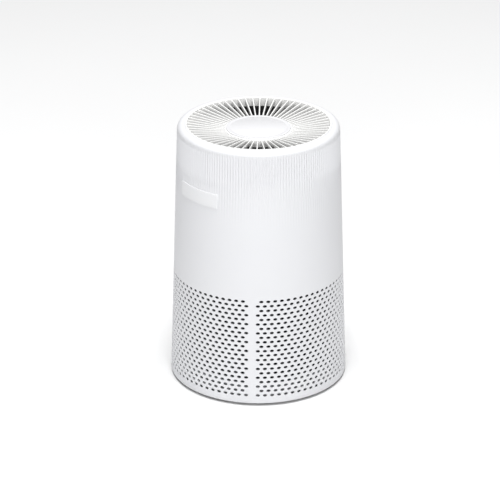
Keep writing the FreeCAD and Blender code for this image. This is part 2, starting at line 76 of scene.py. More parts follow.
# %% [markdown]
# The sizes that the new pieces share. Overall levels come from the frame's own boxes, so a piece goes where
# its solid is. Angles are in degrees, and are measured from the right-hand side, anticlockwise seen from
# above. The front of the purifier faces -Y.

# %% Sizes of the body
body_low, body_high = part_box("outer_shell")
foot = body_low[2]
top = body_high[2]
base_radius = 107.4 * MM
taper = 0.034
wall = 2.2 * MM
rim_round = 7 * MM
rim_flat = 2.8 * MM
edge_round = 1.5 * MM
split_level = 142 * MM
mouth_deep = 7 * MM
lean = math.atan(taper)
front = 270


def body_radius(z):
    """Radius of the tapered wall's outside at a height."""
    return base_radius - taper * (z - foot)


rim_centre_z = top - rim_round
rim_centre_r = body_radius(rim_centre_z) - rim_round / math.cos(lean)
opening = rim_centre_r - rim_flat
print("rim from", round(opening / MM, 2), "to", round(body_radius(rim_centre_z) / MM, 2), "mm")

# %% [markdown]
# Five small helpers turn a bmesh into a piece that rides on a body. The piece's place stays in its mesh, and
# its object stays at the origin, as the frame's nodes do. Sharp corners are marked by angle, so round
# surfaces shade smoothly and edges stay crisp. Edges that show in the light are bevelled round.

# %% Helpers for pieces
def bake_modifiers(obj):
    """Makes what the modifiers show the piece's own mesh."""
    graph = bpy.context.evaluated_depsgraph_get()
    mesh = bpy.data.meshes.new_from_object(obj.evaluated_get(graph))
    obj.modifiers.clear()
    obj.data = mesh
    return obj


def shade(obj, angle=40):
    """Smooth shading, with edges sharper than the angle kept crisp."""
    obj.data.shade_smooth()
    obj.data.set_sharp_from_angle(angle=math.radians(angle))
    return obj


def piece(name, bm, body, slot, stands_for=()):
    """An object made of bm, riding on a body, with the record's slot for its finish."""
    mesh = bpy.data.meshes.new(name)
    bm.to_mesh(mesh)
    bm.free()
    obj = bpy.data.objects.new(name, mesh)
    bpy.context.scene.collection.objects.link(obj)
    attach(obj, body)
    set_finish(obj, slot)
    if stands_for:
        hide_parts(*stands_for)
    return obj


def outward(bm):
    """Joins doubles and turns all faces outwards."""
    bmesh.ops.remove_doubles(bm, verts=bm.verts, dist=1e-6)
    bmesh.ops.recalc_face_normals(bm, faces=bm.faces)
    return bm


def soften(bm, edges, offset, segments):
    """Bevels edges round."""
    bmesh.ops.bevel(bm, geom=edges, offset=offset, affect="EDGES", segments=segments, profile=0.5,
                    material=-1)


# %% [markdown]
# Round pieces, such as the touch disc, are turned on a lathe: a few points give the outline from the axis
# outwards, and a full spin closes it. With use_merge the last step joins the first, and merging doubles
# closes the pole where the outline meets the axis.

# %% A lathe
def lathe(outline, steps, centre=(0, 0)):
    """A bmesh of the closed outline, given as (radius, height) pairs in millimetres, spun about Z."""
    bm = bmesh.new()
    ring = [bm.verts.new((r * MM, 0, z * MM)) for r, z in outline]
    for a, b in zip(ring, ring[1:] + ring[:1]):
        on_axis = a.co.x == 0 and b.co.x == 0
        if not on_axis:
            bm.edges.new((a, b))
    bmesh.ops.spin(bm, geom=bm.verts[:] + bm.edges[:], cent=(0, 0, 0), axis=(0, 0, 1),
                   angle=math.tau, steps=steps, use_merge=True)
    outward(bm)
    bmesh.ops.translate(bm, verts=bm.verts, vec=(centre[0] * MM, centre[1] * MM, 0))
    return bm


def rounded(corner_r, corner_z, radius, start, end, steps):
    """Points of an arc round a corner's centre, for an outline. Angles are in degrees."""
    turns = [math.radians(start + (end - start) * i / steps) for i in range(steps + 1)]
    return [(corner_r + radius * math.cos(t), corner_z + radius * math.sin(t)) for t in turns]


print("lathe ready")

# %% [markdown]
# ## The perforated intake
# The lower half of the real body is one moulding with rows of small ovals, every second row shifted by half
# a step, in four panels between plain strips. The strips stand halfway between the front and the sides.
# Cutting 1628 holes with booleans would be slow and leave poor faces. The wall is laid out flat instead, as a
# grid with one column for each half step, so that every hole's centre falls on a grid edge.

# %% Layout of the holes
hole_rows = 22
row_step = 5.77 * MM
first_row = 14 * MM
plain_band = 3.3 * MM
strip_middle = 45
strip_half = 3.818
holes_in_row = 19
hole_step = (90 - 2 * strip_half) / (holes_in_row - 1)
half_step = hole_step / 2
hole_wide = 5.1 * MM
hole_high = 3.5 * MM
hole_corners = 12
hole_inset = 0.5 * MM
intake_wall = 1.1 * MM
panel_columns = 2 * holes_in_row
strip_columns = 2


def column_angle(i):
    """Angle of the grid's i-th column edge. The count starts in the middle of a plain strip."""
    quarter, k = divmod(i, panel_columns + strip_columns)
    strip_edge = strip_half - half_step
    inside = strip_edge + (k - 1) * half_step if k else 0
    return strip_middle + 90 * quarter + inside


levels = [foot + edge_round + plain_band]
levels += [first_row + (k - 0.5) * row_step for k in range(hole_rows + 1)]
levels += [split_level]
print(hole_rows * 2 * (2 * holes_in_row - 1), "holes,", len(levels), "levels")

# %% [markdown]
# The grid's columns and rows are moved to those angles and levels. Where a hole goes, the edge between two
# quads is dissolved, an inset makes the hole's edge, its six sides are divided, and the twelve corners move
# onto an oval. Ovals are drawn a little wider higher up, because wrapping round the cone narrows them.

# %% The flat sheet
def flat_sheet():
    """The wall laid flat: x is the angle times the radius of the base, y is the height."""
    columns = 4 * (panel_columns + strip_columns)
    bm = bmesh.new()
    made = bmesh.ops.create_grid(bm, x_segments=columns, y_segments=len(levels) - 1, size=0.5)
    for v in made["verts"]:
        i = round((v.co.x + 0.5) * columns)
        j = round((v.co.y + 0.5) * (len(levels) - 1))
        v.co = Vector((math.radians(column_angle(i)) * base_radius, levels[j], 0))
    return bm


def hole_at(x, y):
    """Is this place on the sheet the centre of a hole?"""
    row = round((y - first_row) / row_step)
    if not 0 <= row < hole_rows or abs(y - first_row - row * row_step) > 0.1 * row_step:
        return False
    angle = (math.degrees(x / base_radius) - strip_middle) % 90
    shift = (row % 2) / 2
    k = round((angle - strip_half) / hole_step - shift)
    centre = strip_half + (k + shift) * hole_step
    count = holes_in_row - row % 2
    return 0 <= k < count and abs(angle - centre) < 0.1


def cut_holes(bm):
    """Joins each pair of quads, insets the pair, and moves the inner corners onto an oval."""
    middles = []
    for e in bm.edges:
        a, b = e.verts
        upright = abs(a.co.x - b.co.x) < 1e-7
        if upright and hole_at(a.co.x, (a.co.y + b.co.y) / 2):
            middles.append(e)
    bmesh.ops.dissolve_edges(bm, edges=middles, use_verts=False)
    cells = [f for f in bm.faces if len(f.verts) == hole_corners // 2]
    bmesh.ops.inset_individual(bm, faces=cells, thickness=hole_inset)
    rims = dict.fromkeys(e for f in cells for e in f.edges)
    bmesh.ops.subdivide_edges(bm, edges=list(rims), cuts=1)
    holes = [f for f in bm.faces if len(f.verts) == hole_corners]
    for face in holes:
        centre = face.calc_center_bounds()
        stretch = base_radius / body_radius(centre.y)
        around = sorted(face.verts, key=lambda v: math.atan2((v.co.y - centre.y) / hole_high,
                                                             (v.co.x - centre.x) / hole_wide))
        first = min(range(hole_corners), key=lambda i: abs(around[i].co.y - centre.y) - around[i].co.x)
        for i in range(hole_corners):
            turn = math.tau * i / hole_corners
            across = hole_wide / 2 * stretch * math.cos(turn)
            rise = hole_high / 2 * math.sin(turn)
            around[(first + i) % hole_corners].co = centre + Vector((across, rise, 0))
    bmesh.ops.delete(bm, geom=holes, context="FACES")
    return len(middles), len(holes)


sheet = flat_sheet()
print("holes planned and cut:", cut_holes(sheet))

# %% [markdown]
# The sheet is wrapped round the cone, and its two upright ends are merged. The lower rim is extruded down and
# inwards, step by step, for the rounded foot of the body. Solidify then gives the sheet its wall, thinner
# here than above, so that the holes stay open to a slanting view.

# %% Wrap the sheet and give it its wall
def wrap(bm):
    """Rolls the flat sheet into the tapered wall."""
    for v in bm.verts:
        angle = v.co.x / base_radius
        z = v.co.y
        r = body_radius(z)
        v.co = Vector((r * math.cos(angle), r * math.sin(angle), z))
    return outward(bm)


def rolled_edge(bm):
    """Extrudes the lower rim down and round the body's foot."""
    low = [e for e in bm.edges if e.is_boundary and all(abs(v.co.z - levels[0]) < 1e-6 for v in e.verts)]
    stops = []
    for degrees in (0, 22.5, 45, 67.5, 90):
        t = math.radians(degrees)
        stops.append((body_radius(foot + edge_round) - edge_round * (1 - math.cos(t)),
                      foot + edge_round * (1 - math.sin(t))))
    for r, z in stops:
        grown = bmesh.ops.extrude_edge_only(bm, edges=low)["geom"]
        for v in (g for g in grown if isinstance(g, bmesh.types.BMVert)):
            flat = Vector((v.co.x, v.co.y)).normalized() * r
            v.co = Vector((flat.x, flat.y, z))
        low = [g for g in grown if isinstance(g, bmesh.types.BMEdge)]
    bmesh.ops.recalc_face_normals(bm, faces=bm.faces)


def with_wall(obj, thickness):
    """Gives a single sheet its wall, inwards."""
    solid = obj.modifiers.new("wall", "SOLIDIFY")
    solid.thickness = thickness
    solid.offset = -1
    return bake_modifiers(obj)


wrap(sheet)
rolled_edge(sheet)
intake = piece("body_intake", sheet, "housing", "body_white", ["outer_shell"])
shade(with_wall(intake, intake_wall))
print("body_intake", len(intake.data.polygons), "faces")

# %% [markdown]
# ## The fluted upper body
# Above the intake the same wall goes on smooth, breaks into fine upright flutes near the top, and closes in a
# smooth round rim. The flutes grow slowly from nothing below, end quickly under the rim, and leave out the
# badge's place. A grid with four columns for each flute is wrapped in the same way as the intake. The radius
# comes from the taper, the rim's arc and a cosine for the flutes, so one formula holds the whole surface.

# %% Shape of the flutes
flutes = 180
flute_deep = 1.0 * MM
flute_from, flute_full = 222 * MM, 292 * MM
flute_fade, flute_to = 312 * MM, 319 * MM
badge_low, badge_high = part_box("badge_plate")
badge_half = 18.0
badge_turn = 2.0
badge_sunk, badge_proud = 0.4 * MM, 0.8 * MM
badge_clear = 0.6


def ramp(x, a, b):
    """Rises smoothly from 0 at a to 1 at b."""
    t = min(max((x - a) / (b - a), 0), 1)
    return t * t * (3 - 2 * t)


def flute_depth(angle, z):
    """How far the surface is cut back at an angle in degrees and a height."""
    fade = ramp(z, flute_from, flute_full) * (1 - ramp(z, flute_fade, flute_to))
    aside = abs(angle - front - badge_turn)
    margin = badge_clear * MM
    if aside < badge_half + badge_clear and badge_low[2] - margin < z < badge_high[2] + margin:
        return 0
    return flute_deep * fade * (0.5 - 0.5 * math.cos(math.radians(angle) * flutes))


smooth_part = [split_level] + [z * MM for z in (158, 176, 200, 216)]
below_badge = [flute_from] + [z * MM for z in (229, 236, 242)]
beside_badge = [badge_low[2] - 1.2 * MM, badge_low[2] - 0.5 * MM, (badge_low[2] + badge_high[2]) / 2,
                badge_high[2] + 0.5 * MM, badge_high[2] + 1.2 * MM]
above_badge = [274 * MM, 283 * MM, flute_full, flute_fade, 313.5 * MM]
path = [(body_radius(z), z) for z in smooth_part + below_badge + beside_badge + above_badge]
rim_steps = 8
for i in range(rim_steps + 1):
    t = lean + (math.pi / 2 - lean) * i / rim_steps
    path.append((rim_centre_r + rim_round * math.cos(t), rim_centre_z + rim_round * math.sin(t)))
mouth_edge = 0.25 * MM
path += [(opening + mouth_edge, top), (opening, top - mouth_edge), (opening, top - mouth_deep)]
print(len(path), "levels up the body")

# %% [markdown]
# The grid's columns become angles and its rows become those levels. Solidify gives this sheet its wall too.

# %% The upper body
def upper_body():
    bm = bmesh.new()
    made = bmesh.ops.create_grid(bm, x_segments=4 * flutes, y_segments=len(path) - 1, size=0.5)
    for v in made["verts"]:
        angle = 360 * (v.co.x + 0.5)
        r, z = path[round((v.co.y + 0.5) * (len(path) - 1))]
        r -= flute_depth(angle, z)
        turn = math.radians(angle)
        v.co = Vector((r * math.cos(turn), r * math.sin(turn), z))
    return outward(bm)


upper = piece("body_upper", upper_body(), "housing", "body_white", ["outer_shell"])
with_wall(upper, wall)
print("body_upper", len(upper.data.polygons), "faces")

# %% [markdown]
# The power inlet comes out through a round hole in the rear of the wall. One round hole in a fine wall is
# just what a Boolean is for. The cutter is a plain rod that is removed afterwards.

# %% Hole for the power inlet
jack_half = 6 * MM
jack_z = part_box("dc_jack")[1][2] - jack_half
inlet_radius = 5.7 * MM


def inlet_hole(obj):
    cutter_bm = bmesh.new()
    place = Matrix.Translation((0, body_radius(jack_z), jack_z)) @ Matrix.Rotation(math.pi / 2, 4, "X")
    bmesh.ops.create_cone(cutter_bm, cap_ends=True, segments=48, radius1=inlet_radius, radius2=inlet_radius,
                          depth=20 * MM, matrix=place)
    mesh = bpy.data.meshes.new("cutter")
    cutter_bm.to_mesh(mesh)
    cutter_bm.free()
    cutter = bpy.data.objects.new("cutter", mesh)
    bpy.context.scene.collection.objects.link(cutter)
    cut = obj.modifiers.new("inlet", "BOOLEAN")
    cut.operation = "DIFFERENCE"
    cut.object = cutter
    bake_modifiers(obj)
    bpy.data.objects.remove(cutter)
    bpy.data.meshes.remove(mesh)


inlet_hole(upper)
shade(upper, 50)
print("body_upper with inlet", len(upper.data.polygons), "faces")

# %% [markdown]
# ## The badge
# A smooth blank plate sits in the front, just proud of the flutes. It starts as a flat grid, which is extruded
# and bent round the body: its front layer stands proud, and its rear layer is sunk. A bevel softens its edge.

# %% Badge plate
def badge():
    """The plate, bent round the body. Its edge and corners are bevelled where faces meet steeply."""
    bm = bmesh.new()
    bmesh.ops.create_grid(bm, x_segments=40, y_segments=4, size=0.5)
    grown = bmesh.ops.extrude_face_region(bm, geom=bm.faces[:])["geom"]
    face = {v for v in grown if isinstance(v, bmesh.types.BMVert)}
    height = badge_high[2] - badge_low[2]
    for v in bm.verts:
        angle = math.radians(front + badge_turn + 2 * badge_half * v.co.x)
        z = badge_low[2] + height * (v.co.y + 0.5)
        r = body_radius(z) + (badge_proud if v in face else -badge_sunk)
        v.co = Vector((r * math.cos(angle), r * math.sin(angle), z))
    bmesh.ops.recalc_face_normals(bm, faces=bm.faces)
    sharp = math.radians(69)
    corners = [e for e in bm.edges if len(e.link_faces) == 2 and e.calc_face_angle(0) > sharp]
    soften(bm, corners, 0.3 * MM, 3)
    return bm


plate = shade(piece("badge_blank", badge(), "housing", "badge_white", ["badge_plate"]))
print("badge_blank", len(plate.data.polygons), "faces")

# %% [markdown]
# ## The outlet grille
# Sixty upright vanes run from a ring round the touch disc to a ring inside the rim, and their tops fall
# towards the middle. The outer ring has a flange underneath, which the screws go through.

# %% Sizes of the grille
vanes = 60
vane_thick = 1.5 * MM
vane_deep = 5 * MM
dish = 6.5 * MM
cup_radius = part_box("light_ring")[1][0]
ring_width = 2.1 * MM
ring_in = opening - ring_width
hub_out = cup_radius + ring_width
vane_below = 0.3 * MM
vane_sunk = 0.8 * MM
rim_low = 11
flange_low, flange_high = 9.5, 7
flange_reach = 5
hub_deep = 9


def vane_top(r):
    """Height of a vane's top edge. It falls from the rim's ring to the hub's ring."""
    return top - vane_below - dish * (ring_in - r) / (ring_in - hub_out)


print("vanes from", round(hub_out / MM, 1), "to", round(ring_in / MM, 1), "mm")

# %% [markdown]
# One vane starts as a cube, whose corners move to the vane's ends, so that it is a long slanting bar. Its long
# edges are bevelled round, and it is copied in turn about the axis. The rings are lathe work.

# %% Vanes and rings
def one_vane():
    """A vane along the X axis, let a little way into both rings."""
    bm = bmesh.new()
    bmesh.ops.create_cube(bm, size=1)
    for v in bm.verts:
        r = ring_in + vane_sunk if v.co.x > 0 else hub_out - vane_sunk
        below = 0 if v.co.z > 0 else vane_deep
        v.co = Vector((r, v.co.y * vane_thick, vane_top(r) - below))
    ridge = [e for e in bm.edges if abs(e.verts[0].co.x - e.verts[1].co.x) > MM]
    soften(bm, ridge, 0.45 * MM, 2)
    return bm


def grille():
    """The outer ring, the hub ring and all vanes. Outlines for the lathe are in millimetres."""
    inside, outside, crest = ring_in / MM, opening / MM - 0.1, top / MM
    rim = [(inside, crest - rim_low), (outside, crest - rim_low), (outside, crest - flange_low),
           (outside + flange_reach, crest - flange_low), (outside + flange_reach, crest - flange_high),
           (outside, crest - flange_high)]
    rim += rounded(outside - 0.3, crest - 0.3, 0.3, 0, 90, 2)
    rim += rounded(inside + 0.6, crest - 0.6, 0.6, 90, 180, 3)
    hub_top = crest - dish / MM
    hub = [(cup_radius / MM + 0.1, hub_top - hub_deep), (hub_out / MM, hub_top - hub_deep)]
    hub += rounded(hub_out / MM - 0.5, hub_top - 0.5, 0.5, 0, 90, 3)
    hub += rounded(cup_radius / MM + 0.4, hub_top - 0.3, 0.3, 90, 180, 2)
    bm = lathe(rim, 180)
    for source, copies in ((lathe(hub, 120), 1), (one_vane(), vanes)):
        part = bpy.data.meshes.new("part")
        source.to_mesh(part)
        source.free()
        for i in range(copies):
            before = len(bm.verts)
            bm.from_mesh(part)
            bm.verts.ensure_lookup_table()
            bmesh.ops.rotate(bm, verts=bm.verts[before:], cent=(0, 0, 0),
                             matrix=Matrix.Rotation(math.tau * i / vanes, 3, "Z"))
        bpy.data.meshes.remove(part)
    return bm


outlet = shade(piece("outlet_vanes", grille(), "housing", "grille_white", ["outlet_grille"]), 35)
print("outlet_vanes", len(outlet.data.polygons), "faces")

# %% [markdown]
# ## The touch disc and its light ring
# The disc is a thin blank plate with a rounded edge and one fine groove near it, standing on the cup that
# holds the touch board. A narrow light guide runs round under the disc's edge, so that light would come out in
# a thin line there. Both are lathe work.

# %% Touch disc and light ring
disc_low, disc_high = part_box("touch_panel")
disc_r = disc_high[0] / MM
disc_z = disc_high[2] / MM
disc_under = disc_low[2] / MM
disc_round = 0.4
groove_in, groove_out, groove_deep = 4.8, 4.2, 0.12
outline = [(0, disc_under), (disc_r, disc_under)]
outline += rounded(disc_r - disc_round, disc_z - disc_round, disc_round, 0, 90, 3)
outline += [(disc_r - groove_out, disc_z), (disc_r - (groove_in + groove_out) / 2, disc_z - groove_deep),
            (disc_r - groove_in, disc_z), (0, disc_z)]
disc = shade(piece("touch_disc", lathe(outline, 128), "housing", "panel_white", ["touch_panel"]))
guide_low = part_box("light_ring")[0][2] / MM
guide_in, guide_out = disc_r - 1.6, disc_r - 0.05
light = [(guide_in, guide_low), (guide_out, guide_low), (guide_out, disc_under), (guide_in, disc_under)]
guide = shade(piece("light_guide", lathe(light, 128), "housing", "light_guide", ["light_ring"]))
print("touch_disc", len(disc.data.polygons), "faces, light_guide", len(guide.data.polygons), "faces")

# %% [markdown]
# ## Screws
# The deck, the grille and the motor mount are held by the same kind of screw: a domed head with a six-lobed
# recess. A disc is extruded and its crown bevelled. An inset marks the recess, every second pair of its
# corners is drawn in, which makes the lobes, and an extrusion sinks it. A cone makes the shank.

# %% A screw
head_radius, head_high = 2.6 * MM, 2 * MM
head_corners = 24
lobe_out, lobe_in = 1.15 * MM, 0.85 * MM
recess_deep = 0.9 * MM


def screw_mesh(shank):
    """One screw, its head seated at z = 0 and its shank pointing up."""
    bm = bmesh.new()
    shank_foot, shank_tip = 1.38 * MM, 1.0 * MM
    seat = bmesh.ops.create_circle(bm, cap_ends=True, segments=head_corners, radius=head_radius)
    crown = seat["verts"][0].link_faces[0]
    grown = bmesh.ops.extrude_face_region(bm, geom=[crown])["geom"]
    crown = next(g for g in grown if isinstance(g, bmesh.types.BMFace))
    bmesh.ops.translate(bm, verts=crown.verts[:], vec=(0, 0, -head_high))
    soften(bm, crown.edges[:], 0.8 * MM, 3)
    discs = [f for f in bm.faces if len(f.verts) == head_corners]
    crown = min(discs, key=lambda f: f.calc_center_median().z)
    bmesh.ops.inset_region(bm, faces=[crown], thickness=0.5 * MM, use_even_offset=True)
    for i, v in enumerate(crown.verts):
        v.co.xy = v.co.xy.normalized() * (lobe_out if i // 2 % 2 else lobe_in)
    sunk = bmesh.ops.extrude_discrete_faces(bm, faces=[crown])["faces"][0]
    bmesh.ops.translate(bm, verts=sunk.verts[:], vec=(0, 0, recess_deep))
    bmesh.ops.recalc_face_normals(bm, faces=bm.faces)
    bmesh.ops.create_cone(bm, cap_ends=True, segments=16, radius1=shank_foot, radius2=shank_tip, depth=shank,
                          matrix=Matrix.Translation((0, 0, shank / 2)))
    mesh = bpy.data.meshes.new("screw")
    bm.to_mesh(mesh)
    bm.free()
    return mesh


def screw_set(name, node, radius, first, seat, up, shank):
    """Four screws on a circle, pointing up or down."""
    one = screw_mesh(shank)
    bm = bmesh.new()
    for i in range(4):
        turn = math.radians(first + 90 * i)
        start = len(bm.verts)
        bm.from_mesh(one)
        bm.verts.ensure_lookup_table()
        fresh = bm.verts[start:]
        if not up:
            bmesh.ops.rotate(bm, verts=fresh, cent=(0, 0, 0), matrix=Matrix.Rotation(math.pi, 3, "X"))
        bmesh.ops.translate(bm, verts=fresh, vec=(radius * math.cos(turn), radius * math.sin(turn), seat))
    bpy.data.meshes.remove(one)
    return shade(piece(name, bm, "housing", "zinc_screw", [node]), 30)


# Where each set's heads are seated, and the circle that it stands on.
deck_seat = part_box("fan_deck")[0][2]
flange_seat = top - flange_low * MM
ear_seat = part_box("motor_mount")[0][2] + 3 * MM
duct_wall = 2.2 * MM
deck_circle = ring_in + duct_wall + 3.4 * MM
flange_circle = opening + 2.9 * MM
ear_circle = ring_in - 5.1 * MM
screw_set("deck_screw_set", "deck_screws", deck_circle, 45, deck_seat, True, 11 * MM)
screw_set("grille_screw_set", "grille_screws", flange_circle, 0, flange_seat, True, 6.5 * MM)
screw_set("mount_screw_set", "mount_screws", ear_circle, 0, ear_seat, False, 11 * MM)
print("screws done")

# %% [markdown]
# ## The pleated filter
# Real media is a sheet of filter paper folded into deep pleats. A ring of points, alternately near the bore
# and near the outside, is extruded upwards, and Solidify gives the folded sheet its thickness.

# %% Filter media
pleat_count = 150
paper_thick = 0.5 * MM
pleat_clear = 0.6 * MM
end_clear = 0.1 * MM


def pleats():
    """The folded sheet, between the carbon layer and the outside of the media's solid."""
    low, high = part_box("filter_media")
    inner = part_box("filter_carbon")[1][0] + pleat_clear
    outer = high[0] - pleat_clear
    bm = bmesh.new()
    made = bmesh.ops.create_circle(bm, cap_ends=False, segments=2 * pleat_count, radius=outer,
                                   matrix=Matrix.Translation((0, 0, low[2] + end_clear)))
    for i, v in enumerate(made["verts"]):
        if i % 2:
            v.co.xy = v.co.xy.normalized() * inner
    grown = bmesh.ops.extrude_edge_only(bm, edges=bm.edges[:])["geom"]
    rise = high[2] - low[2] - 2 * end_clear
    fresh = [g for g in grown if isinstance(g, bmesh.types.BMVert)]
    bmesh.ops.translate(bm, verts=fresh, vec=(0, 0, rise))
    bmesh.ops.recalc_face_normals(bm, faces=bm.faces)
    return bm


media = piece("pleated_media", pleats(), "filter", "filter_paper", ["filter_media"])
with_wall(media, paper_thick)
print("pleated_media", len(media.data.polygons), "faces")

# %% [markdown]
# ## Feet
# The rubber feet are short pads with a rounded edge and a shallow dish in the face that meets the floor.

# %% Rubber feet, in millimetres
foot_circle = 85
pad_radius, pad_round = 8, 0.8
pad_dish = 0.4


def feet():
    """Four pads on a circle under the cover."""
    pad_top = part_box("foot_pads")[1][2] / MM
    outline = [(0, pad_top), (0, pad_dish), (4.6, pad_dish), (5.2, 0)]
    outline += rounded(pad_radius - pad_round, pad_round, pad_round, -90, 0, 3) + [(pad_radius, pad_top)]
    bm = bmesh.new()
    for i in range(4):
        turn = math.radians(45 + 90 * i)
        pad = lathe(outline, 40, (foot_circle * math.cos(turn), foot_circle * math.sin(turn)))
        mesh = bpy.data.meshes.new("pad")
        pad.to_mesh(mesh)
        pad.free()
        bm.from_mesh(mesh)
        bpy.data.meshes.remove(mesh)
    return bm


shade(piece("rubber_feet", feet(), "cover", "foot_rubber", ["foot_pads"]))
print("feet done")

# %% [markdown]
# ## Finishes
# Shader maths reads best as plain expressions. The class below wraps a socket, so that 1 - mask or a * b adds
# the Math node it needs. Every other node comes from one method. Patterns read Object coordinates, which are
# metres in the frame, so a scale of 1000 means one cell for each millimetre.

# %% Shader expressions
class Wire:
    """A shader socket that can be added, multiplied and so on."""

    def __init__(self, finish, socket):
        self.finish = finish
        self.socket = socket

    def _math(self, operation, a, b=None):
        values = {0: a} if b is None else {0: a, 1: b}
        return self.finish.node("ShaderNodeMath", {"operation": operation}, values)

    def __add__(self, other):
        return self._math("ADD", self, other)

    __radd__ = __add__

    def __mul__(self, other):
        return self._math("MULTIPLY", self, other)

    __rmul__ = __mul__

    def __sub__(self, other):
        return self._math("SUBTRACT", self, other)

    def __rsub__(self, other):
        return self._math("SUBTRACT", other, self)

    def __gt__(self, other):
        return self._math("GREATER_THAN", self, other)

    def sine(self):
        return self._math("SINE", self)

    def size(self):
        return self._math("ABSOLUTE", self)

    def angle_from(self, other):
        return self._math("ARCTAN2", self, other)


class Finish:
    """A material with a Principled shader and short ways to feed it."""

    def __init__(self, name, **constants):
        self.material = bpy.data.materials.new(name)
        self.material.use_nodes = True
        self.tree = self.material.node_tree
        self.shader = self.tree.nodes["Principled BSDF"]
        for socket, value in constants.items():
            self.shader.inputs[socket.replace("_", " ")].default_value = value
        self.place = self.node("ShaderNodeTexCoord", {}, {}, "Object")

    def node(self, kind, settings, values, output=0):
        """Adds a node: its settings first, then the values or wires of its sockets."""
        made = self.tree.nodes.new(kind)
        for key, value in settings.items():
            setattr(made, key, value)
        for key, value in values.items():
            if isinstance(value, Wire):
                self.tree.links.new(value.socket, made.inputs[key])
            else:
                made.inputs[key].default_value = value
        return Wire(self, made.outputs[output])

    def noise(self, scale, detail=2, roughness=0.5):
        values = {"Vector": self.place, "Scale": scale, "Detail": detail, "Roughness": roughness}
        return self.node("ShaderNodeTexNoise", {}, values)

    def cells(self, scale):
        return self.node("ShaderNodeTexVoronoi", {}, {"Vector": self.place, "Scale": scale}, "Distance")

    def axes(self):
        split = self.tree.nodes.new("ShaderNodeSeparateXYZ")
        self.tree.links.new(self.place.socket, split.inputs[0])
        return [Wire(self, s) for s in split.outputs]

    def mix(self, factor, a, b):
        """Mixes two colours. The node's colour sockets are its inputs 6 and 7 and its output 2."""
        return self.node("ShaderNodeMix", {"data_type": "RGBA"}, {0: factor, 6: (*a, 1), 7: (*b, 1)}, 2)

    def feed(self, socket, wire):
        self.tree.links.new(wire.socket, self.shader.inputs[socket])

    def bump(self, height, distance):
        values = {"Height": height, "Distance": distance, "Strength": 1.0}
        self.feed("Normal", self.node("ShaderNodeBump", {}, values, "Normal"))


print("shader helpers ready")

# %% [markdown]
# ### Moulded plastic
# Most of the purifier is moulded. A fine spark texture breaks up the gloss, and a slow noise varies the
# colour and roughness a little, as flow in the mould does. The same recipe serves white, grey and black with
# a different colour, gloss and grain. The thin vanes let some light in, so their plastic gets a little milk.

# %% Moulded plastics
def moulded(name, colour, rough, grain, spread=0.02, coat=0.0, milk=0.0):
    """A plastic. The grain is how deep the spark texture is, in millimetres."""
    finish = Finish(name, Coat_Weight=coat, Coat_Roughness=0.12, Subsurface_Weight=milk,
                    Subsurface_Scale=0.003, Subsurface_Radius=(1, 1, 1))
    slow = finish.noise(28, 3)
    fine = finish.noise(2200, 2)
    darker = tuple(c * (1 - spread) for c in colour)
    finish.feed("Base Color", finish.mix(slow, darker, colour))
    finish.feed("Roughness", slow * 0.06 + fine * 0.05 + (rough - 0.055))
    finish.bump(fine, grain * MM)
    return finish.material


looks = {
    "body_white": moulded("body_white", (0.75, 0.755, 0.775), 0.42, 0.010),
    "badge_white": moulded("badge_white", (0.80, 0.805, 0.82), 0.28, 0.004, coat=0.2),
    "grille_white": moulded("grille_white", (0.89, 0.888, 0.875), 0.40, 0.010, milk=0.3),
    "panel_white": moulded("panel_white", (0.745, 0.745, 0.76), 0.28, 0.003, coat=0.15),
    "duct_black": moulded("duct_black", (0.016, 0.016, 0.018), 0.5, 0.02, spread=0.2),
    "fan_grey": moulded("fan_grey", (0.05, 0.055, 0.065), 0.38, 0.012, spread=0.1),
    "jack_black": moulded("jack_black", (0.012, 0.012, 0.012), 0.42, 0.01, spread=0.1),
    "switch_red": moulded("switch_red", (0.38, 0.03, 0.02), 0.4, 0.01, spread=0.1),
    "plunger_white": moulded("plunger_white", (0.72, 0.72, 0.69), 0.35, 0.006),
    "cap_grey": moulded("cap_grey", (0.30, 0.32, 0.34), 0.5, 0.02, spread=0.06),
}
print(len(looks), "moulded plastics")

# %% [markdown]
# ### Light guide, rubber and foam
# The light guide is milky, so a little light goes into it. Rubber is matt with fine specks, and the seal's
# foam has open pores, which the Voronoi texture's cells give.

# %% Light guide, rubber and foam
milky = Finish("light_guide", Subsurface_Weight=0.3, Subsurface_Scale=0.002, Subsurface_Radius=(1, 1, 1),
               IOR=1.49)
milky.feed("Base Color", milky.mix(milky.noise(60), (0.62, 0.64, 0.68), (0.72, 0.74, 0.78)))
milky.feed("Roughness", milky.noise(900) * 0.1 + 0.2)
looks["light_guide"] = milky.material

rubber = Finish("foot_rubber", Specular_IOR_Level=0.3)
specks = rubber.noise(1600, 3)
rubber.feed("Base Color", rubber.mix(specks, (0.045, 0.045, 0.048), (0.075, 0.075, 0.08)))
rubber.feed("Roughness", specks * 0.15 + 0.68)
rubber.bump(specks, 0.03 * MM)
looks["foot_rubber"] = rubber.material

foam = Finish("seal_foam", Specular_IOR_Level=0.2)
pores = foam.cells(900)
foam.feed("Base Color", foam.mix(pores, (0.02, 0.02, 0.022), (0.06, 0.06, 0.065)))
foam.feed("Roughness", pores * 0.1 + 0.85)
foam.bump(pores, 0.25 * MM)
looks["seal_foam"] = foam.material
print("soft finishes done")

# %% [markdown]
# ### Metals
# Turned steel shows fine rings, so its bump is a sine of the height, because every turned piece here stands
# upright. Zinc plate is cloudier and a little yellow. Copper windings show the turns of the wire.

